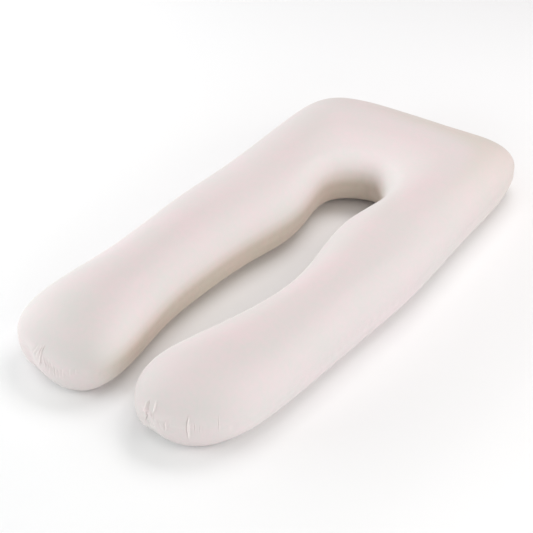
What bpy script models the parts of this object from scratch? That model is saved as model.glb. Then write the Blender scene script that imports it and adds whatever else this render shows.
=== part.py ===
"""U-shaped body pillow, lying on its back on a flat surface.

The real pillow is one cover cut from two U-shaped panels, sewn together round their outline, turned and stuffed with
fibre.  It is built here as one filled solid: cross-sections stand on a U-shaped path from the tip of one arm, round
the head, to the tip of the other.  Each section is a half ellipse above the seam and a rounded edge below it, down to
the flat that the pillow's weight presses into its underside.

Metres, +Z up.  The origin is on the surface under the middle of the pillow, +Y runs from the arms to the head.
"""

from collections import namedtuple
from math import pi

import bmesh
import bpy
import numpy as np

# Driving sizes of the stuffed pillow.
LENGTH = 1.444
WIDTH = 0.700
SEAM_HEIGHT = 0.080

# The flat underside, as a share of each section's width.
FLAT_SHARE = 0.55

# The seam draws the cover in along its whole run, as a groove of this half-height.
SEAM_PULL = 0.004
SEAM_GROOVE = 0.007

# At the end of each arm the cloth is eased into the curve, where a gather draws it in deeper over a radius.
Gather = namedtuple("Gather", "name place pull radius")
GATHERS = (
    Gather("right end", (0.135, -0.705, 0.070), 0.012, 0.028),
    Gather("left end", (-0.243, -0.706, 0.060), 0.015, 0.034),
)

# Resolution: rings for each interval between two sections, with more at the tips, and points round a ring.
RINGS_AT_TIP = 22
RINGS_ELSEWHERE = 8
TOP_ANGLES = (5, 15, 28, 42, 58, 74, 90, 106, 122, 136, 147, 157, 167, 175)
EDGE_ANGLES = (8, 24, 42, 62, 90)
FLAT_STEPS = 4

# Sections from the right arm's tip round the head to the left arm's tip.  Outer and inner are the seam's two sides in
# plan, and crown is the height of the top above the seam.  Rim is the share of the section over which its inner side
# rises to the crown: half of it on an arm, and less where the cover stands steeply round the hollow of the head.
# Fall is how much of that side's height is a broad slope down to the hollow instead.
Section = namedtuple("Section", "name outer inner crown rim fall")
SECTIONS = (
    Section("right tip", (0.148, -0.710), (0.148, -0.710), 0.000, 0.50, 0.00),
    Section("right toe", (0.302, -0.616), (0.042, -0.617), 0.099, 0.50, 0.00),
    Section("right foot", (0.344, -0.435), (0.065, -0.446), 0.108, 0.50, 0.00),
    Section("right knee", (0.346, -0.244), (0.116, -0.245), 0.111, 0.50, 0.00),
    Section("right hip", (0.349, -0.072), (0.111, -0.057), 0.111, 0.50, 0.00),
    Section("right neck", (0.348, 0.123), (0.080, 0.117), 0.111, 0.44, 0.00),
    Section("right shoulder", (0.318, 0.431), (0.110, 0.236), 0.108, 0.26, 0.20),
    Section("right corner", (0.259, 0.700), (0.071, 0.321), 0.102, 0.14, 0.45),
    Section("head", (0.006, 0.695), (0.013, 0.350), 0.099, 0.14, 0.50),
    Section("left corner", (-0.287, 0.630), (-0.047, 0.311), 0.102, 0.13, 0.50),
    Section("left shoulder", (-0.344, 0.414), (-0.073, 0.240), 0.108, 0.20, 0.50),
    Section("left neck", (-0.336, 0.122), (-0.047, 0.103), 0.111, 0.38, 0.30),
    Section("left hip", (-0.338, -0.059), (-0.067, -0.063), 0.111, 0.50, 0.00),
    Section("left knee", (-0.332, -0.246), (-0.078, -0.254), 0.111, 0.50, 0.00),
    Section("left foot", (-0.340, -0.424), (-0.063, -0.435), 0.108, 0.50, 0.00),
    Section("left toe", (-0.339, -0.632), (-0.046, -0.659), 0.099, 0.50, 0.00),
    Section("left tip", (-0.213, -0.722), (-0.213, -0.722), 0.000, 0.50, 0.00),
)


def closed_spline(knots, at):
    """A smooth closed curve through evenly numbered knots, read at the numbers in at.

    The second derivatives at the knots solve the ring of equations that makes neighbouring cubics agree.
    """
    knots = np.asarray(knots, float)
    count = len(knots)
    ring = 4 * np.eye(count) + np.roll(np.eye(count), 1, 0) + np.roll(np.eye(count), -1, 0)
    bend = np.linalg.solve(ring, 6 * (np.roll(knots, -1, 0) - 2 * knots + np.roll(knots, 1, 0)))
    at = np.asarray(at, float) % count
    start = np.floor(at).astype(int) % count
    end = (start + 1) % count
    t = (at - np.floor(at))[:, None]
    straight = (1 - t) * knots[start] + t * knots[end]
    cubic = ((1 - t) ** 3 - (1 - t)) * bend[start] + (t**3 - t) * bend[end]
    return straight + cubic / 6


def ring_numbers():
    """Where the rings stand, counted in sections from the right tip, without the two tips themselves."""
    last = len(SECTIONS) - 1
    steps = [RINGS_AT_TIP] + [RINGS_ELSEWHERE] * (last - 2) + [RINGS_AT_TIP]
    spans = [start + np.arange(count) / count for start, count in enumerate(steps)]
    return np.concatenate(spans)[1:]


def outline(at):
    """The seam's two sides in plan at the given section numbers, scaled to the pillow's length and width."""
    knots = [s.outer for s in SECTIONS] + [s.inner for s in SECTIONS[-2:0:-1]]
    whole = closed_spline(knots, np.linspace(0, len(knots), 800, endpoint=False))
    low, high = whole.min(axis=0), whole.max(axis=0)
    centred = (np.asarray(knots) - (low + high) / 2) * np.array([WIDTH, LENGTH]) / (high - low)
    return closed_spline(centred, at), closed_spline(centred, -np.asarray(at))


def crowns(at):
    """The height of the top above the seam, which falls to nothing at both tips as on a dome."""
    rising = [s.crown for s in SECTIONS]
    mirrored = rising + [-crown for crown in rising[-2:0:-1]]
    return closed_spline(np.array(mirrored)[:, None], at)[:, 0]


def along_sections(given, at):
    """A section's value between the sections, the same on both sides of a tip."""
    return closed_spline(np.array(given + given[-2:0:-1])[:, None], at)[:, 0]


def top_rise(rise, across, rim, fall):
    """The top as a share of the crown: an ellipse, mixed on its inner side with one that is narrowed to the rim."""
    short_of_rim = 1 - np.clip((1 + across) / 2 / rim, 0, 1)
    mixed = fall * rise + (1 - fall) * np.sqrt(1 - short_of_rim**2)
    return np.where((across < 0) & (rise > 0), mixed, rise)


def edge_drops(at):
    """How much of the underside's depth a section has, from nothing at the tips to all of it at the toes."""
    last = len(SECTIONS) - 1
    return np.sin(np.clip(np.minimum(at, last - at), 0, 1) * pi / 2)


def section_profile():
    """One ring as (across, rise, drop): across runs from -1 at the inner seam to 1 at the outer one."""
    top = [(np.cos(a), np.sin(a), 0.0) for a in np.radians(TOP_ANGLES)]
    edge = [
        (FLAT_SHARE + (1 - FLAT_SHARE) * np.cos(a), 0.0, np.sin(a)) for a in np.radians(EDGE_ANGLES)
    ]
    flat = [(FLAT_SHARE * (1 - 2 * k / FLAT_STEPS), 0.0, 1.0) for k in range(1, FLAT_STEPS)]
    outer_seam = [(1.0, 0.0, 0.0)]
    inner_seam = [(-1.0, 0.0, 0.0)]
    inner_edge = [(-across, rise, drop) for across, rise, drop in edge]
    return np.array(outer_seam + top + inner_seam + inner_edge + flat[::-1] + edge[::-1])


def seam_pull(points):
    """How far the seam draws each point in: along its groove, and round the gathers at the ends of the arms."""
    rise = points[..., 2] - SEAM_HEIGHT
    pull = SEAM_PULL * np.exp(-((rise / SEAM_GROOVE) ** 2))
    for gather in GATHERS:
        reach = np.linalg.norm(points - gather.place, axis=-1) / gather.radius
        pull = pull + gather.pull * np.exp(-(reach**2))
    return pull


def inward(at, side):
    """Unit vectors in plan, square to the outline on one side (1 outer, -1 inner) and into the pillow."""
    step = 0.01
    ahead, behind = outline(at + step), outline(at - step)
    along = (ahead[0] - behind[0]) if side > 0 else (ahead[1] - behind[1])
    square = np.stack([-along[:, 1], along[:, 0]], axis=1) * side
    return square / np.linalg.norm(square, axis=1, keepdims=True)


def ring_points():
    """All rings as an array of rings by points by coordinates."""
    at = ring_numbers()
    outer, inner = outline(at)
    across, rise, drop = section_profile().T
    middle = (outer + inner)[:, None, :] / 2
    half = (outer - inner)[:, None, :] / 2
    plan = middle + half * across[None, :, None]
    rim = along_sections([s.rim for s in SECTIONS], at)[:, None]
    fall = along_sections([s.fall for s in SECTIONS], at)[:, None]
    top = crowns(at)[:, None] * top_rise(rise, across, rim, fall)
    height = SEAM_HEIGHT * (1 - edge_drops(at)[:, None] * drop) + top
    points = np.dstack([plan, height])
    share = (1 + across[None, :, None]) / 2
    way_in = share * inward(at, 1)[:, None, :] + (1 - share) * inward(at, -1)[:, None, :]
    points[..., :2] += seam_pull(points)[:, :, None] * way_in
    return points


def tip_points():
    """The two points where the rings close."""
    at = np.array([0.0, len(SECTIONS) - 1.0])
    tips = np.hstack([outline(at)[0], np.full((2, 1), SEAM_HEIGHT)])
    tips[:, :2] += seam_pull(tips)[:, None] * inward(at, 1)
    return tips


def stitch_rings(rings, tips):
    """A closed mesh of quads between the rings, with a fan of triangles at each tip."""
    mesh = bmesh.new()
    loops = [[mesh.verts.new(point) for point in ring] for ring in rings]
    for before, after in zip(loops, loops[1:]):
        for k in range(len(before)):
            mesh.faces.new((before[k - 1], before[k], after[k], after[k - 1]))
    for loop, tip in ((loops[0], tips[0]), (loops[-1], tips[1])):
        pole = mesh.verts.new(tip)
        for k in range(len(loop)):
            mesh.faces.new((loop[k - 1], loop[k], pole))
    bmesh.ops.recalc_face_normals(mesh, faces=mesh.faces)
    return mesh


def cover_material():
    """Off-white brushed cotton with a faint pink cast."""
    material = bpy.data.materials.new("off_white_cover")
    material.use_nodes = True
    surface = material.node_tree.nodes["Principled BSDF"]
    surface.inputs["Base Color"].default_value = (0.82, 0.77, 0.755, 1)
    surface.inputs["Roughness"].default_value = 0.85
    surface.inputs["Metallic"].default_value = 0.0
    return material


def make_pillow():
    """The filled pillow as one object, with its box centred on the origin in plan."""
    rings = ring_points()
    plan = rings[..., :2].reshape(-1, 2)
    middle = np.append((plan.min(axis=0) + plan.max(axis=0)) / 2, 0)
    mesh = stitch_rings(rings - middle, tip_points() - middle)
    data = bpy.data.meshes.new("filled_pillow")
    mesh.to_mesh(data)
    mesh.free()
    data.shade_smooth()
    data.materials.append(cover_material())
    pillow = bpy.data.objects.new("filled_pillow", data)
    bpy.context.scene.collection.objects.link(pillow)
    return pillow


for leftover in list(bpy.data.objects):
    bpy.data.objects.remove(leftover)

make_pillow()
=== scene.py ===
"""The looks of a U-shaped body pillow that lies on its back on a pale studio floor.

The pillow is one stuffed cover: two U-shaped panels of off-white stretch cotton, sewn together all round.
The file follows it as it is made: the panels, the seam with its gathers, the creases, the easing, the
filling, the cloth and the photo set.  Metres, +Z up, +Y from the ends of the arms to the head.
"""

from collections import namedtuple
from math import cos, pi, radians, sin

import bpy
import numpy as np
from mathutils import Matrix, Vector


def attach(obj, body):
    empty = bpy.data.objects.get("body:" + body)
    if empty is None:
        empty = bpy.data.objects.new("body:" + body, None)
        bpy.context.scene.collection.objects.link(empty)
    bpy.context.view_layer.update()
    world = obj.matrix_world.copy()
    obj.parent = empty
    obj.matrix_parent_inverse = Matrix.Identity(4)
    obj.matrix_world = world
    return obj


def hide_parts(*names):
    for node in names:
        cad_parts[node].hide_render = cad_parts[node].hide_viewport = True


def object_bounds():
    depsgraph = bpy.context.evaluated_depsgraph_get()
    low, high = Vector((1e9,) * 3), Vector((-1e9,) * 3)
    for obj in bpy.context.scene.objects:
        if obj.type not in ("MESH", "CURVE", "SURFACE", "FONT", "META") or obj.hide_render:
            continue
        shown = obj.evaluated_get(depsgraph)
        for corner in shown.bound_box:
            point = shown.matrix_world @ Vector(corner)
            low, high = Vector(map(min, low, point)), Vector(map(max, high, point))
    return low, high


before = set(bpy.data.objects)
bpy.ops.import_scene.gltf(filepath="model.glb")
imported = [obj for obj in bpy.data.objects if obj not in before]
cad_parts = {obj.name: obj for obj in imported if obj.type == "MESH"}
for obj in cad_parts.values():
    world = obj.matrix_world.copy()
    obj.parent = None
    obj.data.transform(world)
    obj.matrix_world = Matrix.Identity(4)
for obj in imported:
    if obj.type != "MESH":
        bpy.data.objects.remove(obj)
cad_low, cad_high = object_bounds()

# The two panels ---------------------------------------------------------------------------------------------
# One U-shaped piece of off-white stretch cotton is cut twice, and the stuffing rounds the two panels into a
# closed cover.  It is carried along sections that stand across the U, from the tip of the right arm, round
# the head, to the tip of the left one.

SEAM_HEIGHT = 0.080
FLAT_SHARE = 0.55

# Outer and inner are the seam's two sides in plan, and crown is how high the top stands above the seam.  Rim
# is the share of the section over which its inner side rises to the crown, and fall is how much of that
# side's height is a broad slope down to the hollow instead.
Section = namedtuple("Section", "name outer inner crown rim fall")
SECTIONS = (
    Section("right tip", (0.148, -0.710), (0.148, -0.710), 0.000, 0.50, 0.00),
    Section("right toe", (0.302, -0.616), (0.042, -0.617), 0.099, 0.50, 0.00),
    Section("right foot", (0.344, -0.435), (0.065, -0.446), 0.108, 0.50, 0.00),
    Section("right knee", (0.346, -0.244), (0.116, -0.245), 0.111, 0.50, 0.00),
    Section("right hip", (0.349, -0.072), (0.111, -0.057), 0.111, 0.50, 0.00),
    Section("right neck", (0.348, 0.123), (0.080, 0.117), 0.111, 0.44, 0.00),
    Section("right shoulder", (0.318, 0.431), (0.110, 0.236), 0.108, 0.26, 0.20),
    Section("right corner", (0.259, 0.700), (0.071, 0.321), 0.102, 0.14, 0.45),
    Section("head", (0.006, 0.695), (0.013, 0.350), 0.099, 0.14, 0.50),
    Section("left corner", (-0.287, 0.630), (-0.047, 0.311), 0.102, 0.13, 0.50),
    Section("left shoulder", (-0.344, 0.414), (-0.073, 0.240), 0.108, 0.20, 0.50),
    Section("left neck", (-0.336, 0.122), (-0.047, 0.103), 0.111, 0.38, 0.30),
    Section("left hip", (-0.338, -0.059), (-0.067, -0.063), 0.111, 0.50, 0.00),
    Section("left knee", (-0.332, -0.246), (-0.078, -0.254), 0.111, 0.50, 0.00),
    Section("left foot", (-0.340, -0.424), (-0.063, -0.435), 0.108, 0.50, 0.00),
    Section("left toe", (-0.339, -0.632), (-0.046, -0.659), 0.099, 0.50, 0.00),
    Section("left tip", (-0.213, -0.722), (-0.213, -0.722), 0.000, 0.50, 0.00),
)
LAST = len(SECTIONS) - 1

# Rings for each interval between two sections, with more in the two at the creased ends of the arms, where
# the last step is END_GROWTH times the first one, at the tip.  The rings near an end bend round it: the first
# crosses the ridge END_BEND sections further from the tip than it crosses the seam, and the bend fades over
# END_REACH.
RINGS_AT_END = 270
RINGS_ELSEWHERE = 26
END_GROWTH = 2.2
END_BEND = 1.2
END_REACH = 3

# Points round a ring: in each quarter of the top, in each edge below the seam, and across the flat.  They
# stand closest at the seam, and the last step in a quarter is SEAM_CLOSENESS times the first.
TOP_QUARTER = 34
EDGE_QUARTER = 14
FLAT_STEPS = 8
SEAM_CLOSENESS = 3.0

# The search for the section that runs through a point: how many sections it first tries, how near the tip it
# starts and how far past the bend it goes, and how many steps then close in.
TRIED_SECTIONS = 240
FIRST_TRIED = 0.001
TRIED_PAST_BEND = 0.1
CLOSING_STEPS = 2


def closed_spline(knots, at):
    """A smooth closed curve through evenly numbered knots, read at the numbers in at.

    The second derivatives at the knots solve the ring of equations that makes neighbouring cubics agree.
    """
    knots = np.asarray(knots, float)
    count = len(knots)
    ring = 4 * np.eye(count) + np.roll(np.eye(count), 1, 0) + np.roll(np.eye(count), -1, 0)
    bend = np.linalg.solve(ring, 6 * (np.roll(knots, -1, 0) - 2 * knots + np.roll(knots, 1, 0)))
    at = np.asarray(at, float) % count
    start = np.floor(at).astype(int) % count
    end = (start + 1) % count
    t = (at - np.floor(at))[:, None]
    straight = (1 - t) * knots[start] + t * knots[end]
    cubic = ((1 - t) ** 3 - (1 - t)) * bend[start] + (t**3 - t) * bend[end]
    return straight + cubic / 6


def outline(at):
    """The seam's outer and inner side in plan: one closed curve, read forwards and backwards."""
    knots = [s.outer for s in SECTIONS] + [s.inner for s in SECTIONS[-2:0:-1]]
    return closed_spline(knots, at), closed_spline(knots, -np.asarray(at))


def along_sections(values, at, sign):
    """A section's value between the sections, mirrored past both tips with that sign."""
    ring = list(values) + [sign * value for value in values[-2:0:-1]]
    return closed_spline(np.array(ring)[:, None], at)[:, 0]


def inward(at, side):
    """Unit vectors in plan, square to the outline on one side (1 outer, -1 inner) and into the pillow.

    The outline's heading is that from a point a hundredth of a section behind to one as far ahead.
    """
    step = 0.01
    ahead, behind = outline(at + step), outline(at - step)
    along = (ahead[0] - behind[0]) if side > 0 else (ahead[1] - behind[1])
    square = np.stack([-along[:, 1], along[:, 0]], axis=1) * side
    return square / np.linalg.norm(square, axis=1, keepdims=True)


def growing(count, last_to_first):
    """Numbers from 0 to 1 whose steps grow by one factor, from the first step to last_to_first times it."""
    rate = np.log(last_to_first)
    return np.expm1(rate * np.arange(count + 1) / count) / np.expm1(rate)


def ring_profile():
    """One ring's places across, from 1 at the outer seam over the top to -1 at the inner one, and back.

    The top's places are cosines of angles that grow from the seam.  An edge's are the flat's share plus what
    is left times such a cosine.
    """
    quarter = growing(TOP_QUARTER, SEAM_CLOSENESS) * pi / 2
    over = np.concatenate([quarter, pi - quarter[-2::-1]])
    under = growing(EDGE_QUARTER, SEAM_CLOSENESS) * pi / 2
    reach = FLAT_SHARE + (1 - FLAT_SHARE) * np.cos(under)
    flat = np.linspace(-FLAT_SHARE, FLAT_SHARE, FLAT_STEPS + 1)[1:-1]
    return np.concatenate([np.cos(over), -reach[1:], flat, reach[:0:-1]])


def ring_places():
    """Where the rings stand, counted in sections: in growing steps near both tips, and evenly in between."""
    near_tip = growing(RINGS_AT_END, END_GROWTH)[:-1]
    between = np.linspace(1, LAST - 1, RINGS_ELSEWHERE * (LAST - 2) + 1)
    return np.concatenate([near_tip, between, LAST - near_tip[::-1]])


def section_through(plan, end):
    """Which section runs through each plan point near one end of the U, and the point's place across it.

    A point is on the line of a section where the cross product of the line and the point's offset from its
    middle is zero.  A table of sections brackets that one, and steps along its slope there close in on it.
    """
    away = np.linspace(FIRST_TRIED, END_REACH + TRIED_PAST_BEND, TRIED_SECTIONS)

    def beside(away, plan):
        """The cross product for the section so far from the end, and the offset and the half line in it."""
        outer, inner = outline(np.abs(end - away))
        offset, half = plan - (outer + inner) / 2, (outer - inner) / 2
        return half[:, 0] * offset[..., 1] - half[:, 1] * offset[..., 0], offset, half

    side = beside(away, plan[:, None])[0]
    reached = np.argmax(np.sign(side) == np.sign(side[:, -1:]), axis=1).clip(1)
    rows = np.arange(len(plan))
    slope = (side[rows, reached] - side[rows, reached - 1]) / (away[1] - away[0])
    found = away[reached] - side[rows, reached] / slope
    for _ in range(CLOSING_STEPS):
        found = np.maximum(found - beside(found, plan)[0] / slope, away[0])
    _, offset, half = beside(found, plan)
    return np.abs(end - found), ((offset * half).sum(axis=1) / (half**2).sum(axis=1)).clip(-1, 1)


def loose_cover(at):
    """The cover before its seam draws in, as rings by points by coordinates, and the rings' ridge in plan.

    A ring runs in plan from the outer seam to its place on the ridge and on to the inner seam.  Above the
    seam a point rises by the crown times an ellipse of its place across the section, mixed on the inner side
    with one narrowed to the rim.  Below it the point drops by the seam's height times a rounded edge, and by
    less within a section of the tips, as a sine.  The bend falls off as the square of what its reach leaves.
    """
    across = ring_profile()
    outer, inner = outline(at)
    bend = END_BEND * np.clip(1 - np.minimum(at, LAST - at) / END_REACH, 0, 1) ** 2
    ridge_outer, ridge_inner = outline(np.where(at < LAST / 2, at + bend, at - bend))
    ridge = (ridge_outer + ridge_inner) / 2
    seam = np.where(across[None, :, None] > 0, outer[:, None], inner[:, None])
    plan = ridge[:, None] + (seam - ridge[:, None]) * np.abs(across)[None, :, None]
    section = np.broadcast_to(at[:, None], plan.shape[:2]).copy()
    place = np.broadcast_to(across, plan.shape[:2]).copy()
    for end in (0, LAST):
        near = np.abs(at - end) < END_REACH
        found = section_through(plan[near].reshape(-1, 2), end)
        section[near], place[near] = (values.reshape(-1, len(across)) for values in found)
    place[:, 0], place[:, top_steps] = 1, -1
    section, place = section.ravel(), place.ravel()
    crown = along_sections([s.crown for s in SECTIONS], section, -1)
    rim = along_sections([s.rim for s in SECTIONS], section, 1)
    fall = along_sections([s.fall for s in SECTIONS], section, 1)
    depth = np.sin(np.clip(np.minimum(section, LAST - section), 0, 1) * pi / 2)
    short_of_rim = 1 - np.clip((1 + place) / 2 / rim, 0, 1)
    whole = np.sqrt(1 - place**2)
    rise = np.where(place < 0, fall * whole + (1 - fall) * np.sqrt(1 - short_of_rim**2), whole)
    drop = np.sqrt(1 - np.clip((np.abs(place) - FLAT_SHARE) / (1 - FLAT_SHARE), 0, 1) ** 2)
    on_top = np.broadcast_to(np.arange(len(across)) <= top_steps, plan.shape[:2]).ravel()
    height = np.where(on_top, SEAM_HEIGHT + crown * rise, SEAM_HEIGHT * (1 - depth * drop))
    return np.dstack([plan, height.reshape(plan.shape[:2])]), ridge


top_steps = 2 * TOP_QUARTER
across = ring_profile()
places = ring_places()
cover, ridge = loose_cover(places)

# The way into the pillow at each point, mixed from those of the seam's two sides.
share = (1 + across[None, :, None]) / 2
way_in = share * inward(places, 1)[:, None] + (1 - share) * inward(places, -1)[:, None]

# The perimeter seam -----------------------------------------------------------------------------------------
# The panels are sewn right sides together and turned, so the seam is a thin valley at half height with no
# thread showing.  It draws the cover in all round, and more at the end of each arm, where the cloth is eased
# into the curve.

SEAM_PULL = 0.0014
SEAM_GROOVE = 0.009

# At the end of each arm a gather draws the cloth in deeper over a radius.
Gather = namedtuple("Gather", "name place pull radius")
GATHERS = (
    Gather("right end", (0.135, -0.705, 0.070), 0.012, 0.028),
    Gather("left end", (-0.243, -0.706, 0.060), 0.015, 0.034),
)

# The stitched line itself, a finer valley in the groove, and how far it wanders up and down on its way round,
# in waves of three lengths.
LINE_DEPTH = 0.0007
LINE_GROOVE = 0.0014
LINE_WANDER = 0.0022
WANDER_LENGTHS = (0.61, 0.37, 0.23)
WANDER_PHASES = (0.4, 2.1, 4.4)


def run_along(points):
    """Each point's distance along its side of the seam, from the first ring to the last."""
    steps = np.linalg.norm(np.diff(points, axis=0), axis=-1)
    return np.concatenate([np.zeros((1, points.shape[1])), np.cumsum(steps, axis=0)])


def slow_wave(run, wavelengths, phases):
    """A wave between -1 and 1 that doesn't seem to repeat: the mean of sines of those lengths and phases."""
    waves = [np.sin(2 * pi * run / length + phase) for length, phase in zip(wavelengths, phases)]
    return sum(waves) / len(waves)


run = run_along(cover)
off_tip = np.clip(np.minimum(places, LAST - places), 0, 1)[:, None]
line_height = SEAM_HEIGHT + LINE_WANDER * off_tip * slow_wave(run, WANDER_LENGTHS, WANDER_PHASES)


def drawn_in(points, line_height):
    """How far the seam draws each point in: bells of its height off the seam and its reach from a gather."""
    pull = SEAM_PULL * np.exp(-(((points[..., 2] - SEAM_HEIGHT) / SEAM_GROOVE) ** 2))
    pull += LINE_DEPTH * np.exp(-(((points[..., 2] - line_height) / LINE_GROOVE) ** 2))
    for gather in GATHERS:
        reach = np.linalg.norm(points - gather.place, axis=-1) / gather.radius
        pull += gather.pull * np.exp(-(reach**2))
    return pull


cover[..., :2] += drawn_in(cover, line_height)[..., None] * way_in

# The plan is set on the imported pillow's box.
own_low, own_high = cover.min(axis=(0, 1)), cover.max(axis=(0, 1))
fit = [(cad_high[k] - cad_low[k]) / (own_high[k] - own_low[k]) for k in (0, 1)]
shift = [(cad_high[k] + cad_low[k]) / 2 - fit[k] * (own_high[k] + own_low[k]) / 2 for k in (0, 1)]
cover[..., :2] = cover[..., :2] * fit + shift
ridge = ridge * fit + shift


def flat_pattern(points, ridge):
    """Where each point of the cover lay in the flat cloth, in metres, for the top panel and the bottom one.

    A point's distance along its ring from the ridge is laid off in plan, straight out from the ridge, so the
    knit runs straight up each arm and isn't stretched down the pillow's sides.
    """
    closed = np.concatenate([points, points[:, :1]], axis=1)
    reach = np.cumsum(np.linalg.norm(np.diff(closed, axis=1), axis=-1), axis=1)
    reach = np.concatenate([np.zeros((len(points), 1)), reach], axis=1)
    laid = []
    top = (0, TOP_QUARTER, top_steps)
    bottom = (top_steps, (top_steps + len(across)) // 2, len(across))
    for start, middle, end in (top, bottom):
        out = np.empty((len(points), end + 1 - start, 2))
        for half, corner in ((slice(start, middle), start), (slice(middle, end + 1), end)):
            way = closed[:, corner, :2] - ridge
            way /= np.linalg.norm(way, axis=1, keepdims=True)
            gone = np.abs(reach[:, half] - reach[:, middle:middle + 1])
            columns = slice(half.start - start, half.stop - start)
            out[:, columns] = ridge[:, None] + gone[..., None] * way[:, None]
        laid.append(out)
    return laid


def joined_rings(points, name):
    """A closed mesh of quads between rings, which points it uses, and every ring point's number in it.

    The first ring and the last are folded shut: each point of their outer half is also the one across from
    it.  The rings may be thinned to every second point.
    """
    rings, around = points.shape[:2]
    number = np.arange(rings * around).reshape(rings, around)
    opposite = (top_steps * around // len(across) - np.arange(around)) % around
    for folded in (0, -1):
        number[folded] = np.minimum(number[folded], number[folded][opposite])
    used, number = np.unique(number, return_inverse=True)
    number = number.reshape(rings, around)
    ahead = np.roll(number, -1, axis=1)
    quads = np.stack([number[:-1], number[1:], ahead[1:], ahead[:-1]], axis=-1).reshape(-1, 4)
    mesh = bpy.data.meshes.new(name)
    mesh.from_pydata(points.reshape(-1, 3)[used].tolist(), [], quads.tolist())
    return mesh, used, number


def lay_panels(mesh, panels):
    """Gives the cover's mesh the flat panels as a UV map: each face's corners, in the order of its points."""
    start = np.concatenate([panels[0][:, :-1], panels[1][:, :-1]], axis=1)
    end = np.concatenate([panels[0][:, 1:], panels[1][:, 1:]], axis=1)
    corners = np.stack([start[:-1], start[1:], end[1:], end[:-1]], axis=2).astype(np.float32)
    mesh.uv_layers.new(name="panel").uv.foreach_set("vector", corners.ravel())


def point_normals(mesh):
    """The outward unit vector at each point of a mesh."""
    normals = np.empty(3 * len(mesh.vertices), np.float32)
    mesh.vertex_normals.foreach_get("vector", normals)
    return normals.reshape(-1, 3)


mesh, used, _ = joined_rings(cover, "cover")
lay_panels(mesh, flat_pattern(cover, ridge))
mesh.shade_smooth()
pillow = bpy.data.objects.new("stuffed_cover", mesh)
bpy.context.scene.collection.objects.link(pillow)

places_on_cover = cover.reshape(-1, 3)[used]
normals = point_normals(mesh)
relief = np.zeros(len(places_on_cover))

# The creases at the ends of the arms ------------------------------------------------------------------------
# Where the cloth is eased into the curve it can't lie smooth: short creases run up from the seam, most with a
# small roll of cloth beside them.  The left arm has one sharp crease and a row that fades inwards, and the
# right one a forked pair in a trough, some short ones and a long one by itself.

# The creases are listed one by one.  Each runs down its path and is so wide and so deep, all in millimetres.
# Roll is the height of the roll beside it, as a share of its depth: above 0 it lies on the right of the
# crease, seen from outside, and below 0 on its left.  A depth below 0 makes it a ridge.
Crease = namedtuple("Crease", "name path width depth roll")
CREASES = (
    Crease(
        "left, sharpest",
        ((-178, -706, 134), (-183, -710, 119), (-186, -716, 102), (-190, -719, 82), (-198, -719, 62)),
        1.5, 1.9, -1.4,
    ),
    Crease("left, beside it", ((-185, -712, 129), (-191, -716, 112), (-194, -720, 95)), 1.5, 1.1, -1.2),
    Crease("left, ridge", ((-185, -714, 113), (-187, -719, 99), (-192, -721, 78)), 1.6, -1.8, 0.4),
    Crease("left, outermost", ((-202, -711, 127), (-208, -717, 115), (-221, -716, 92)), 1.8, 1.3, 1.3),
    Crease("left, outer", ((-200, -716, 113), (-204, -719, 102), (-210, -718, 86)), 1.8, 1.2, 1.4),
    Crease("left, thin", ((-179, -718, 106), (-174, -719, 92), (-172, -718, 71)), 1.6, 1.1, -1.3),
    Crease("left row 1", ((-167, -719, 105), (-163, -720, 89), (-169, -717, 59)), 1.8, 1.2, 1.4),
    Crease("left row 2", ((-158, -717, 98), (-153, -719, 84), (-153, -719, 61)), 1.8, 1.2, 1.4),
    Crease("left row 3", ((-147, -716, 90), (-146, -715, 74), (-145, -715, 57)), 1.8, 1.2, 1.4),
    Crease("left row 4", ((-138, -714, 86), (-136, -714, 71), (-135, -714, 56)), 1.8, 1.1, 1.3),
    Crease("left row 5", ((-126, -710, 93), (-128, -709, 77), (-126, -710, 65)), 1.8, 1.0, 1.1),
    Crease("left row 6", ((-109, -704, 100), (-109, -705, 86), (-110, -705, 71)), 1.8, 1.3, 0.9),
    Crease("left row 7", ((-95, -699, 100), (-95, -700, 89), (-95, -699, 80)), 1.8, 0.9, 0.8),
    Crease("right, trough", ((138, -688, 127), (139, -696, 111), (142, -701, 98)), 2.4, 4.4, 0.0),
    Crease("right, fork left", ((138, -699, 103), (133, -698, 83), (125, -695, 58)), 1.4, 2.8, -0.8),
    Crease("right, fork right", ((148, -703, 112), (154, -705, 102), (156, -704, 86)), 1.4, 2.8, 0.8),
    Crease("right, ridge left", ((130, -693, 122), (131, -699, 111), (127, -699, 91)), 2.0, -2.8, 0.3),
    Crease("right, ridge right", ((155, -687, 133), (158, -696, 123), (157, -703, 108)), 2.0, -2.8, 0.3),
    Crease("right, edge 1", ((130, -693, 68), (138, -697, 62), (141, -695, 49)), 1.6, 2.6, 0.9),
    Crease("right, edge 2", ((152, -703, 82), (157, -703, 72), (165, -704, 61)), 1.6, 2.6, 0.9),
    Crease("right short 1", ((172, -704, 99), (174, -704, 87), (177, -704, 77)), 1.6, 1.5, 0.6),
    Crease("right short 2", ((190, -700, 98), (189, -699, 82), (190, -700, 67)), 1.6, 1.9, 0.9),
    Crease("right short 3", ((198, -695, 105), (200, -697, 95), (200, -697, 82)), 1.6, 1.1, 0.6),
    Crease(
        "right, long",
        ((235, -666, 120), (236, -672, 106), (236, -675, 90), (237, -676, 73), (238, -674, 49)),
        1.3, 2.4, 1.1,
    ),
    Crease("right, long ridge", ((243, -672, 103), (242, -674, 83), (242, -672, 60)), 1.6, -1.4, 0.3),
    Crease("right faint 1", ((250, -665, 101), (252, -667, 91), (252, -667, 76)), 1.2, 1.3, 0.7),
    Crease("right faint 2", ((260, -658, 94), (260, -658, 82), (260, -658, 72)), 1.2, 1.3, 0.7),
    Crease("right, far", ((286, -621, 116), (289, -625, 99), (290, -626, 73)), 1.1, 1.5, 0.7),
    Crease("right, last", ((306, -604, 84), (307, -604, 71), (305, -602, 55)), 1.5, 1.0, 0.5),
)
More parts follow.
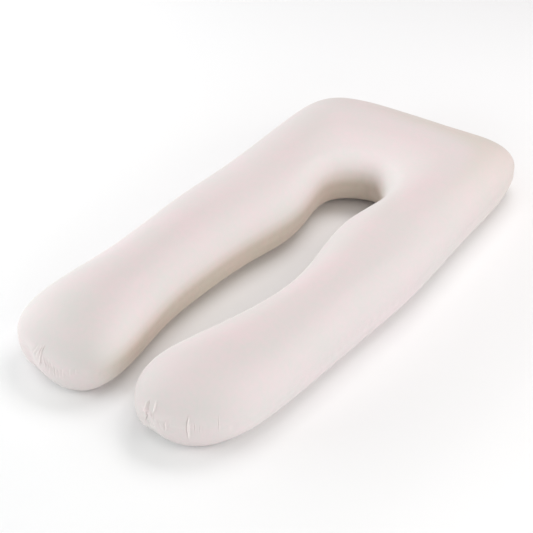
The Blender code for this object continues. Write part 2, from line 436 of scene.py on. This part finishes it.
MILLIMETRE = 0.001

# A crease is followed at so many stations and reaches so far from its second place.  It fades with the
# distance from the surface, and over this share of its length at each end.  A roll lies so many widths beside
# its crease.  Only the ends of the arms, up to ENDS_UP_TO along them, are creased.
CREASE_STATIONS = 81
CREASE_REACH = 0.07
OFF_SURFACE = 0.02
CREASE_TAPER = 0.25
ROLL_OFFSET = 1.8
ENDS_UP_TO = -0.55


def crease_relief(points, normals, crease):
    """A crease's relief at each point, below 0 in the crease and above 0 on the roll beside it.

    The crease is a polynomial curve through its places.  The relief is the roll's bell of the distance across
    the crease less the crease's own bell.  Both swell as a sine from its ends, and fade as bells of the
    distance past them and off the surface.
    """
    path, width = np.array(crease.path) * MILLIMETRE, crease.width * MILLIMETRE
    gone = np.concatenate([[0], np.cumsum(np.linalg.norm(np.diff(path, axis=0), axis=1))])
    powers = np.polyfit(gone, path, len(path) - 1)
    along = np.linspace(0, gone[-1], CREASE_STATIONS)
    line = np.stack([np.polyval(column, along) for column in powers.T], axis=1)
    heading = np.gradient(line, axis=0)
    heading /= np.linalg.norm(heading, axis=1, keepdims=True)
    away = points[:, None] - line[None]
    nearest = np.argmin((away**2).sum(axis=2), axis=1)
    gap = away[np.arange(len(points)), nearest]
    ahead = heading[nearest]
    past_end = (gap * ahead).sum(axis=1) / width
    right = np.cross(normals, ahead)
    across = (gap * right).sum(axis=1) / width
    off_surface = (gap * normals).sum(axis=1) / OFF_SURFACE
    share = nearest / (CREASE_STATIONS - 1)
    tapered = np.sin(pi / 2 * np.clip(np.minimum(share, 1 - share) / CREASE_TAPER, 0, 1))
    swell = tapered * np.exp(-(past_end**2))
    crease_bell = np.exp(-(across**2))
    roll_bell = abs(crease.roll) * np.exp(-((across * np.sign(crease.roll) - ROLL_OFFSET) ** 2))
    return crease.depth * MILLIMETRE * (roll_bell - crease_bell) * swell * np.exp(-(off_surface**2))


near_ends = np.flatnonzero(places_on_cover[:, 1] < ENDS_UP_TO)
for crease in CREASES:
    reach = np.linalg.norm(places_on_cover[near_ends] - np.multiply(crease.path[1], MILLIMETRE), axis=1)
    near = near_ends[reach < CREASE_REACH]
    relief[near] += crease_relief(places_on_cover[near], normals[near], crease)
rolls = np.maximum(relief, 0)

# The easing round the rest of the seam ----------------------------------------------------------------------
# Stretch cotton is eased a little all the way round, so small dimples stand off the seam at uneven distances.
# They are deepest on the curves of the toes, the corners and the hollow, and slight on the straight sides.

DIMPLE_SPACING = (0.020, 0.048)
DIMPLE_WIDTH = (0.005, 0.009)
DIMPLE_LENGTH = (0.010, 0.024)
DIMPLE_DEPTH = (0.0004, 0.0012)

# A dimple's middle is off the line by up to this share of its length, and it slants so much for its rise.
DIMPLE_START = (-0.3, 0.3)
DIMPLE_SLANT = (-0.5, 0.5)

# The turn, in radians a metre, at which the cloth is fully eased, and a straight side's share of the easing.
EASED_CURVE = 5.0
STRAIGHT_EASING = 0.25

# One seeded source of chance, for the dimples and then for the filling.
SEED = 7
chance = np.random.default_rng(SEED)


def dimples(run, rise, curve):
    """The depth of all the dimples on one side of the seam: bells of the run times bells of the rise."""
    depth = np.zeros_like(run)
    place = chance.uniform(*DIMPLE_SPACING)
    while place < run.max():
        width, length = chance.uniform(*DIMPLE_WIDTH), chance.uniform(*DIMPLE_LENGTH)
        start, slant = chance.uniform(*DIMPLE_START) * length, chance.uniform(*DIMPLE_SLANT)
        along = (run - place - slant * rise) / width
        up = (rise - start) / length
        depth += chance.uniform(*DIMPLE_DEPTH) * np.exp(-(along**2)) * np.exp(-(up**2))
        place += chance.uniform(*DIMPLE_SPACING)
    return depth * (STRAIGHT_EASING + (1 - STRAIGHT_EASING) * np.clip(curve, 0, 1))


def turning(side_points):
    """How fast a side of the outline turns, as a share of the turn that eases fully.

    The turn is the change of heading from ring to ring over the length of the step.
    """
    ahead = np.gradient(side_points, axis=0)
    heading = np.unwrap(np.arctan2(ahead[:, 1], ahead[:, 0]))
    return np.abs(np.gradient(heading) / np.linalg.norm(ahead, axis=1)) / EASED_CURVE


outer, inner = cover[:, 0, :2], cover[:, top_steps, :2]
ring_relief = np.zeros(cover.shape[:2])
rise = cover[..., 2] - line_height
for side, side_points, column in ((1, outer, 0), (-1, inner, top_steps)):
    on_side = np.where(across * side > 0, 1.0, 0.0)
    bend = turning(side_points)[:, None]
    depth = dimples(np.broadcast_to(run[:, column:column + 1], rise.shape), rise, bend)
    ring_relief -= on_side * off_tip * depth

# The filling ------------------------------------------------------------------------------------------------
# Loose fibre never fills a cover evenly: it presses harder in places, and the cloth settles over it in broad
# soft swells and slack folds.  The cloth is simulated on every few points, held at the seam, on the floor and
# softly by the fibre, and the cover then follows it, by two millimetres or so.

# How the fibre is packed: so much of the pressure on average, more and less by the spread, and never below
# the least, in waves of these lengths.
PACKING = 0.55
PACKING_SPREAD = 0.45
LEAST_PACKING = 0.05
SWELL_WAVES = 9
SWELL_LENGTH = (0.16, 0.34)

# The simulated cloth has every tenth ring at the ends of the arms, every second one between them, and every
# second point of a ring.
SETTLE_END_STEP = 10
SETTLE_RING_STEP = 2
SETTLE_POINT_STEP = 2

# The settling: the fibre's pressure, and how heavy the cloth is and how it resists stretch, shear and
# bending.  Fibre hold is how firmly the fibre keeps a free point, where 1 is fixed.  A point lower than
# touching is fixed.  Weights are rounded to one in so many steps.
SETTLE_FRAMES = 20
SETTLE_QUALITY = 6
PRESSURE = 4.0
CLOTH_WEIGHT = 0.15
CLOTH_STIFFNESS = 15.0
CLOTH_SHEAR = 5.0
CLOTH_BENDING = 0.5
HOLD_STIFFNESS = 1.0
FIBRE_HOLD = 0.05
TOUCHING = 0.004
WEIGHT_STEPS = 20

# No point moves further than this.
SETTLE_CAP = 0.0025


def swells(points):
    """Broad waves about 1 high: sines in slanting directions, summed, over the root of half their number."""
    total = np.zeros(points.shape[:-1])
    for _ in range(SWELL_WAVES):
        way = chance.normal(size=3)
        way /= np.linalg.norm(way)
        length = chance.uniform(*SWELL_LENGTH)
        total += np.sin(2 * pi * (points @ way) / length + chance.uniform(0, 2 * pi))
    return total / np.sqrt(SWELL_WAVES / 2)


def weigh(piece, name, weights):
    """Gives a piece a vertex group from one weight a point, each rounded to a step."""
    group = piece.vertex_groups.new(name=name)
    steps = np.round(weights * WEIGHT_STEPS).astype(int)
    for step in np.unique(steps):
        group.add(np.flatnonzero(steps == step).tolist(), step / WEIGHT_STEPS, "REPLACE")


def settle(points, packed):
    """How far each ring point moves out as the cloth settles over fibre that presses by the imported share.

    The move is the part of the simulated one that lies along the surface's outward direction.
    """
    mesh, used, number = joined_rings(points, "settling")
    piece = bpy.data.objects.new("settling", mesh)
    bpy.context.scene.collection.objects.link(piece)
    column = np.broadcast_to(np.arange(points.shape[1]), points.shape[:2]).ravel()[used]
    start = points.reshape(-1, 3)[used]
    held = (start[:, 2] < TOUCHING) | (column == 0) | (column == top_steps // SETTLE_POINT_STEP)
    weigh(piece, "held", np.where(held, 1.0, FIBRE_HOLD))
    weigh(piece, "packed", packed.ravel()[used])
    cloth = piece.modifiers.new("cloth", "CLOTH")
    settings = cloth.settings
    settings.quality = SETTLE_QUALITY
    settings.mass = CLOTH_WEIGHT
    settings.tension_stiffness = settings.compression_stiffness = CLOTH_STIFFNESS
    settings.shear_stiffness = CLOTH_SHEAR
    settings.bending_stiffness = CLOTH_BENDING
    settings.use_pressure = True
    settings.uniform_pressure_force = PRESSURE
    settings.vertex_group_pressure = "packed"
    settings.vertex_group_mass = "held"
    settings.pin_stiffness = HOLD_STIFFNESS
    settings.effector_weights.gravity = 0.0
    cloth.point_cache.frame_start, cloth.point_cache.frame_end = 1, SETTLE_FRAMES
    for moment in range(1, SETTLE_FRAMES + 1):
        bpy.context.scene.frame_set(moment)
    settled = piece.evaluated_get(bpy.context.evaluated_depsgraph_get())
    places = np.empty(start.size, np.float32)
    settled.data.vertices.foreach_get("co", places)
    moved = ((places.reshape(-1, 3) - start) * point_normals(mesh)).sum(axis=1)
    bpy.data.objects.remove(piece)
    bpy.data.meshes.remove(mesh)
    bpy.context.scene.frame_set(1)
    return moved[number]


def evened(values, axis):
    """A field of rings by points, twice averaged: half of each value and a quarter of each neighbour's."""
    for _ in range(2):
        values = (np.roll(values, 1, axis) + 2 * values + np.roll(values, -1, axis)) / 4
    return values


packed = np.clip(PACKING + PACKING_SPREAD * swells(cover), LEAST_PACKING, 1)
last_ring = len(places) - 1
end_rings = np.arange(0, RINGS_AT_END, SETTLE_END_STEP)
between = np.arange(RINGS_AT_END, last_ring - RINGS_AT_END + 1, SETTLE_RING_STEP)
kept = np.unique(np.concatenate([end_rings, between, last_ring - end_rings]))
moved = settle(cover[kept][:, ::SETTLE_POINT_STEP], packed[kept][:, ::SETTLE_POINT_STEP])

# Splines along the rings and round them carry the move from the kept points to all of them.
mirrored = evened(evened(np.concatenate([moved, moved[-2:0:-1]]), 0), 1)
along = closed_spline(mirrored, np.interp(np.arange(len(places)), kept, np.arange(len(kept))))
moved = closed_spline(along.T, np.arange(len(across)) / SETTLE_POINT_STEP).T
ring_relief += SETTLE_CAP * np.tanh(moved / SETTLE_CAP)

# The cover takes on its creases, its dimples and its swells, and stays on the floor.
relief += ring_relief.ravel()[used]
shaped = places_on_cover + normals * relief[:, None]
shaped[:, 2] = np.maximum(shaped[:, 2], 0.0)
mesh.vertices.foreach_set("co", shaped.astype(np.float32).ravel())
mesh.update()

# The cloth --------------------------------------------------------------------------------------------------
# Off-white brushed cotton jersey with a faint pink cast: matt, with a short soft nap that lightens its edges.
# The knit's columns are a millimetre apart and run up the arms.  Its colour also carries painted light and
# shade: paler and darker bands across the sections, darker ends, a darker head side and paler rolls.

# The colour across a section, from place -1 at the inner seam to 1 at the outer one, and past -1 underneath.
# It is rosier along the ridge.  The inner side up to the inner shoulder is painted paler, a painted light,
# and between the arms the foot of the inner wall, the inner seam and the cloth under it are painted a darker
# warm beige, a painted shade.
Tone = namedtuple("Tone", "name place colour")
TONES_WITH_PAINTED_LIGHT = (
    Tone("underside", -1.45, (0.712, 0.645, 0.634)),
    Tone("under the inner seam", -1.05, (0.725, 0.632, 0.545)),
    Tone("inner seam", -1.00, (0.695, 0.606, 0.530)),
    Tone("inner wall", -0.98, (0.780, 0.700, 0.655)),
    Tone("inner shoulder", -0.93, (0.820, 0.758, 0.742)),
    Tone("beside the shoulder", -0.80, (0.787, 0.726, 0.716)),
    Tone("inner side", -0.62, (0.754, 0.680, 0.670)),
    Tone("ridge", -0.15, (0.724, 0.628, 0.622)),
    Tone("outer side", 0.50, (0.712, 0.640, 0.631)),
    Tone("outer seam", 1.00, (0.712, 0.645, 0.634)),
)

# Both ends have one tone, plainer and a little darker, a painted shade: it is alone up to END_FADE[0]
# sections from a tip, and fades over END_FADE[1].
END_PAINTED_SHADE = (0.704, 0.640, 0.626)
END_FADE = (0.75, 0.85)

# The head's outer side is painted a little darker and warmer, a painted shade: over so many sections on both
# sides of its middle, and from this place across, where it comes in over a span.
HEAD_PAINTED_SHADE = (0.965, 0.950, 0.885)
HEAD_SIDE = 7.4
HEAD_SIDE_REACH = 1.2
HEAD_SHADE_PLACE = 0.1
HEAD_SHADE_SPAN = 0.4

# How much paler the rolls beside the creases are painted, a painted highlight, for each metre of their
# height.
ROLL_PAINTED_HIGHLIGHT = 100.0

# The mottling's two ends, as shares of that colour.  It is a broad cloud mixed with a fine one, each with its
# size and its detail, and goes from one end to the other over a range of the mix.
MOTTLE_GREY = (0.966, 1.008, 0.992, 1)
MOTTLE_ROSE = (1.034, 0.992, 1.008, 1)
BROAD_CLOUD = (0.11, 3.0)
FINE_CLOUD = (0.012, 2.0)
BROAD_SHARE = 0.6
MOTTLE_RANGE = (0.38, 0.62)

# The knit is columns crossed by rows, and a row's stitches lean where they cross a column.  Its sizes are
# from one column to the next, and from the crest of a row to the trough after it.  The nap on it is a cloud
# of its own, which also makes the cloth rougher where it stands.
KNIT_COLUMN = 0.0011
KNIT_ROW = 0.0009
COLUMN_SHARE = 0.6
ROW_SHARE = 0.2
ROW_LEAN = 1.5
KNIT_HEIGHT = 0.00010
NAP_CLOUD = (0.0016, 3.0)
NAP_HEIGHT = 0.00035
RELIEF_STRENGTH = 0.6
CLOTH_ROUGHNESS = 0.86
NAP_ROUGHNESS = 0.08
CLOTH_SHINE = 0.3
CLOTH_SHEEN = 0.15
SHEEN_ROUGHNESS = 0.6


class Wire:
    """A value on its way through a material: sums and products of wires add the nodes that work them out."""

    def __init__(self, output):
        self.output = output
        self.tree = output.id_data

    def node(self, kind, settings, inputs, result=0):
        """Adds a node of that kind, with its settings and its inputs' values or wires; gives its result."""
        made = self.tree.nodes.new(kind)
        for name, value in settings.items():
            setattr(made, name, value)
        for name, value in inputs.items():
            if isinstance(value, Wire):
                self.tree.links.new(value.output, made.inputs[name])
            else:
                made.inputs[name].default_value = value
        return Wire(made.outputs[result])

    def maths(self, operation, first, second=0.0):
        """Adds a sum, a product or another operation on one or two values, each a wire or a number."""
        return self.node("ShaderNodeMath", {"operation": operation}, {0: first, 1: second})

    def __add__(self, other):
        return self.maths("ADD", self, other)

    def __mul__(self, other):
        return self.maths("MULTIPLY", self, other)

    __radd__ = __add__
    __rmul__ = __mul__


def eased(share):
    """A share held between 0 and 1 that leaves both ends gently: 3 times its square less 2 times its cube."""
    share = np.clip(share, 0, 1)
    return share**2 * (3 - 2 * share)


def nap_tones_with_painted_light():
    """Each point's colour with its painted light and shade: the table's, read between its places, with the
    head's painted shade and the ends' painted shade.

    The head's shade comes in by a bell of the distance from the head's middle times an eased step across the
    section.  The ends' shade comes in by an eased step towards each tip.
    """
    spots = [tone.place for tone in TONES_WITH_PAINTED_LIGHT]
    table = np.array([tone.colour for tone in TONES_WITH_PAINTED_LIGHT])
    underneath = np.arange(len(across)) > top_steps
    place = np.where(underneath, 2 * np.sign(across) - across, across)
    tones_with_painted_light = np.stack([np.interp(place, spots, column) for column in table.T], axis=1)
    on_head = np.exp(-(((places - HEAD_SIDE) / HEAD_SIDE_REACH) ** 2))[:, None]
    head_shade = on_head * eased((place - HEAD_SHADE_PLACE) / HEAD_SHADE_SPAN)
    off_end = eased((np.minimum(places, LAST - places)[:, None] - END_FADE[0]) / END_FADE[1])
    head_shaded = tones_with_painted_light[None] * (1 + (np.array(HEAD_PAINTED_SHADE) - 1) * head_shade[..., None])
    return END_PAINTED_SHADE + (head_shaded - END_PAINTED_SHADE) * off_end[..., None]


def brushed_jersey():
    """The cover's cloth: each point's colour, with its painted light and shade, times the mottling, over a
    fine knit and its nap as one bump.

    A column's height is the size of a sine of the distance across the knit.  A row's is a sine of the
    distance along it plus the column's height times the lean.
    """
    material = bpy.data.materials.new("brushed_jersey")
    material.use_nodes = True
    tree = material.node_tree
    surface = tree.nodes["Principled BSDF"]
    place = Wire(tree.nodes.new("ShaderNodeTexCoord").outputs["Object"])
    panel = place.node("ShaderNodeUVMap", {"uv_map": "panel"}, {})
    split = panel.node("ShaderNodeSeparateXYZ", {}, {"Vector": panel})
    across_knit = split * (pi / KNIT_COLUMN)
    along_knit = Wire(split.output.node.outputs["Y"]) * (pi / KNIT_ROW)

    def cloud(size, detail):
        """A noise between 0 and 1 of that size and detail, at the cover's own places."""
        return place.node("ShaderNodeTexNoise", {}, {"Vector": place, "Scale": 1 / size, "Detail": detail})

    mottle = cloud(*BROAD_CLOUD) * BROAD_SHARE + cloud(*FINE_CLOUD) * (1 - BROAD_SHARE)
    spread = mottle.node(
        "ShaderNodeMapRange",
        {},
        {"Value": mottle, "From Min": MOTTLE_RANGE[0], "From Max": MOTTLE_RANGE[1]},
    )
    patch = spread.node(
        "ShaderNodeMix",
        {"data_type": "RGBA"},
        {"Factor": spread, "A": MOTTLE_GREY, "B": MOTTLE_ROSE},
        "Result",
    )
    # The points' colour, with its painted light and shade.
    tone = panel.node("ShaderNodeAttribute", {"attribute_name": "nap_tone_with_painted_light"}, {}, "Color")
    colour = tone.node(
        "ShaderNodeMix",
        {"data_type": "RGBA", "blend_type": "MULTIPLY"},
        {"Factor": 1.0, "A": tone, "B": patch},
        "Result",
    )
    column = across_knit.maths("ABSOLUTE", across_knit.maths("SINE", across_knit))
    row = column.maths("SINE", along_knit + column * ROW_LEAN)
    knit = column * COLUMN_SHARE + row * ROW_SHARE
    nap = cloud(*NAP_CLOUD)
    bumped = knit.node(
        "ShaderNodeBump",
        {},
        {"Height": knit * KNIT_HEIGHT + nap * NAP_HEIGHT, "Strength": RELIEF_STRENGTH, "Distance": 1.0},
        "Normal",
    )
    rough = CLOTH_ROUGHNESS + nap * NAP_ROUGHNESS
    tree.links.new(colour.output, surface.inputs["Base Color"])
    tree.links.new(rough.output, surface.inputs["Roughness"])
    tree.links.new(bumped.output, surface.inputs["Normal"])
    surface.inputs["Specular IOR Level"].default_value = CLOTH_SHINE
    surface.inputs["Sheen Weight"].default_value = CLOTH_SHEEN
    surface.inputs["Sheen Roughness"].default_value = SHEEN_ROUGHNESS
    return material


# Each point's colour, with its painted light and shade, and the rolls beside the creases painted paler, a
# painted highlight.
tones_with_painted_light = nap_tones_with_painted_light().reshape(-1, 3)[used] * (1 + ROLL_PAINTED_HIGHLIGHT * rolls[:, None])
opaque = np.hstack([tones_with_painted_light, np.ones((len(tones_with_painted_light), 1))]).astype(np.float32)
mesh.attributes.new("nap_tone_with_painted_light", "FLOAT_COLOR", "POINT").data.foreach_set("color", opaque.ravel())
mesh.materials.append(brushed_jersey())
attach(pillow, "root")
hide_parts("filled_pillow")

# The photo set ----------------------------------------------------------------------------------------------
# The pillow lies on a plain matt white floor.  Five low softboxes stand round it and light its flanks more
# than its top, one is higher at the right and two are overhead.  Most have a slight tint.

FLOOR_HALF = 16.0
FLOOR_WHITE = (0.93, 0.93, 0.93, 1)
FLOOR_ROUGHNESS = 0.95
FLOOR_SHINE = 0.1


def white_floor():
    """A square of matt white floor."""
    mesh = bpy.data.meshes.new("floor")
    half = FLOOR_HALF
    corners = [(-half, -half, 0), (half, -half, 0), (half, half, 0), (-half, half, 0)]
    mesh.from_pydata(corners, [], [(0, 1, 2, 3)])
    material = bpy.data.materials.new("white_floor")
    material.use_nodes = True
    surface = material.node_tree.nodes["Principled BSDF"]
    surface.inputs["Base Color"].default_value = FLOOR_WHITE
    surface.inputs["Roughness"].default_value = FLOOR_ROUGHNESS
    surface.inputs["Specular IOR Level"].default_value = FLOOR_SHINE
    mesh.materials.append(material)
    floor = bpy.data.objects.new("floor", mesh)
    bpy.context.scene.collection.objects.link(floor)
    return floor


white_floor()

# Every softbox has one size and looks at one point from one distance.  Azimuth counts from -Y towards +X and
# elevation from the floor, in degrees.
SOFTBOX_REACH = 3.2
SOFTBOX_SIZE = (2.2, 1.4)
AIM = Vector((0.0, 0.0, 0.1))
Softbox = namedtuple("Softbox", "name azimuth elevation watts colour")
SOFTBOXES = (
    Softbox("front_right", 45, 15, 24.4, (0.96, 1.00, 1.00)),
    Softbox("right", 90, 15, 13.5, (0.76, 0.84, 1.00)),
    Softbox("behind_right", 135, 15, 16.5, (1.00, 0.98, 1.00)),
    Softbox("left", 270, 15, 38.7, (0.96, 0.99, 1.00)),
    Softbox("front_left", 315, 15, 41.8, (0.94, 0.99, 1.00)),
    Softbox("high_right", 90, 40, 15.7, (1.00, 0.91, 0.78)),
    Softbox("high_front", 0, 65, 7.6, (1.00, 1.00, 1.00)),
    Softbox("high_behind", 180, 65, 41.4, (1.00, 0.97, 0.98)),
)

# The white room's own light, even from all sides.
ROOM_WHITE = (1, 1, 1, 1)
ROOM_LIGHT = 0.31


def direction(azimuth, elevation):
    """A unit vector: up by the elevation's sine, and out by its cosine at the azimuth, from -Y towards +X."""
    a, e = radians(azimuth), radians(elevation)
    return Vector((sin(a) * cos(e), -cos(a) * cos(e), sin(e)))


for box in SOFTBOXES:
    lamp = bpy.data.lights.new(box.name, "AREA")
    lamp.shape = "RECTANGLE"
    lamp.size, lamp.size_y = SOFTBOX_SIZE
    lamp.energy = box.watts
    lamp.color = box.colour
    softbox = bpy.data.objects.new(box.name, lamp)
    softbox.location = AIM + direction(box.azimuth, box.elevation) * SOFTBOX_REACH
    softbox.rotation_euler = (AIM - softbox.location).to_track_quat("-Z", "Y").to_euler()
    bpy.context.scene.collection.objects.link(softbox)

world = bpy.data.worlds.new("studio")
world.use_nodes = True
world.node_tree.nodes["Background"].inputs["Color"].default_value = ROOM_WHITE
world.node_tree.nodes["Background"].inputs["Strength"].default_value = ROOM_LIGHT
bpy.context.scene.world = world
bpy.context.scene.view_settings.view_transform = "Standard"

# The camera looks down on the pillow from its front right, with a long lens from about four metres.  Its
# focal length is in pixels of the photo, which is so many wide.
CAMERA_AZIMUTH = 38.70
CAMERA_ELEVATION = 38.81
CAMERA_REACH = 4.136
CAMERA_AIM = Vector((0.0195, -0.1116, 0.1))
FOCAL_PIXELS = 1611.6
PHOTO_WIDTH = 533
SENSOR = 36.0

back = direction(CAMERA_AZIMUTH, CAMERA_ELEVATION)
right = Vector((cos(radians(CAMERA_AZIMUTH)), sin(radians(CAMERA_AZIMUTH)), 0))
turned = Matrix((right, back.cross(right), back)).transposed()
lens = bpy.data.cameras.new("camera")
lens.sensor_width = SENSOR
lens.lens = SENSOR * FOCAL_PIXELS / PHOTO_WIDTH
camera = bpy.data.objects.new("camera", lens)
camera.matrix_world = Matrix.Translation(CAMERA_AIM + back * CAMERA_REACH) @ turned.to_4x4()
bpy.context.scene.collection.objects.link(camera)
bpy.context.scene.camera = camera
